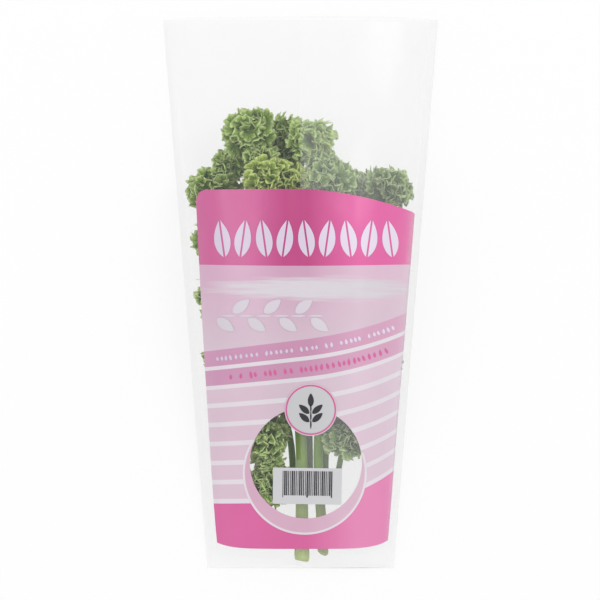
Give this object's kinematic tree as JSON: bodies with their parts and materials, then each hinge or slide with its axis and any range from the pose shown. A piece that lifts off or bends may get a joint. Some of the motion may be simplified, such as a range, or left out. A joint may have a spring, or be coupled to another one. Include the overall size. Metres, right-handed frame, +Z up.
{
  "type": "parsley bunch",
  "caption": "Bunch of cut curly parsley, ruffled leaf heads on branched stalks, in a tapered clear film sleeve, lying on its back.",
  "frame": {"origin": "middle of the underside of the sleeve's flat back web, on the surface the bunch lies on", "axes": "+Y along the sleeve towards its open mouth and the leaf tops, +X across the sleeve, +Z up from the surface"},
  "size_m": [0.168, 0.3351, 0.0578],
  "materials": {
    "leaf": "fresh curly leaf, waxy green, lighter at the frilled edges",
    "stalk": "smooth ribbed green stalk, paler at the cut end",
    "printed_film": "thin clear glossy film with a printed pink design",
    "clear_film": "thin clear glossy film"
  },
  "bodies": {
    "root": {"leaf_low_left_1": "leaf", "leaf_low_left_2": "leaf", "leaf_low_left_3": "leaf", "leaf_low_right_1": "leaf", "leaf_low_right_2": "leaf", "leaf_main_left_1": "leaf", "leaf_main_left_2": "leaf", "leaf_main_left_3": "leaf", "leaf_main_left_4": "leaf", "leaf_main_left_5": "leaf", "leaf_main_right_1": "leaf", "leaf_main_right_2": "leaf", "leaf_main_right_3": "leaf", "leaf_main_right_4": "leaf", "leaf_main_right_5": "leaf", "leaf_middle_1": "leaf", "leaf_middle_2": "leaf", "leaf_middle_3": "leaf", "leaf_middle_4": "leaf", "leaf_outer_left_1": "leaf", "leaf_outer_left_2": "leaf", "leaf_outer_left_3": "leaf", "leaf_outer_left_4": "leaf", "leaf_outer_left_5": "leaf", "leaf_outer_right_1": "leaf", "leaf_outer_right_2": "leaf", "leaf_outer_right_3": "leaf", "leaf_outer_right_4": "leaf", "leaf_outer_right_5": "leaf", "sleeve_back_web": "clear_film", "sleeve_front_web": "printed_film", "stalk_low_left": "stalk", "stalk_low_right": "stalk", "stalk_main_left": "stalk", "stalk_main_right": "stalk", "stalk_middle": "stalk", "stalk_outer_left": "stalk", "stalk_outer_right": "stalk"}
  },
  "joints": []
}
